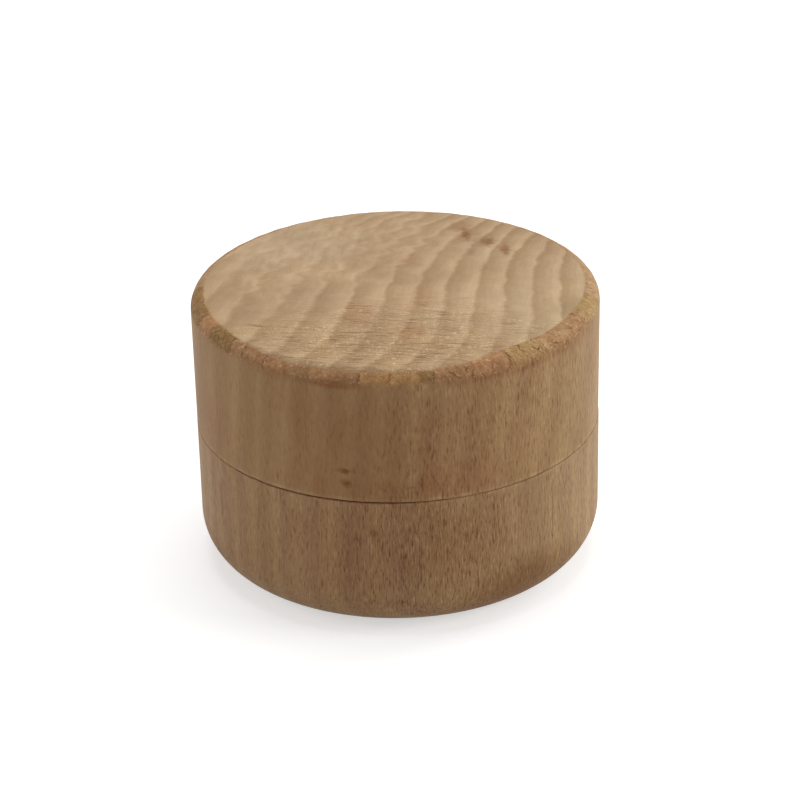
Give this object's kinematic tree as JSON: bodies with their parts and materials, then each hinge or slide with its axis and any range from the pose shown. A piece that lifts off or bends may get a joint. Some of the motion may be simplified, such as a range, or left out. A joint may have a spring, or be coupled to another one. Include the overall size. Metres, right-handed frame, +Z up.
{
  "type": "round lidded keepsake box",
  "caption": "Small round turned-wood keepsake box: a cup with a raised spigot and a cap that lifts off, for a child's tooth, a ring or a like small thing.",
  "frame": {"origin": "middle of the flat underside that the closed box stands on", "axes": "+Z up along the turning axis, from the foot to the lid's top; X and Y lie in the underside and are alike by symmetry, with -Y towards the picture's viewer"},
  "size_m": [0.05, 0.05, 0.035],
  "materials": {
    "base_beech": "bare beech, sanded, with brown ray flecks along the upright grain; matt",
    "lid_beech": "bare beech, sanded, end grain with soft growth-ring bands on top and upright grain at the side; matt"
  },
  "bodies": {
    "base": {"box_base": "base_beech"},
    "lid": {"box_lid": "lid_beech"}
  },
  "joints": [
    {"name": "lid_lift", "type": "slide", "parent": "base", "child": "lid", "axis": [0, 0, 1], "range_m": [0, 0.05]}
  ]
}
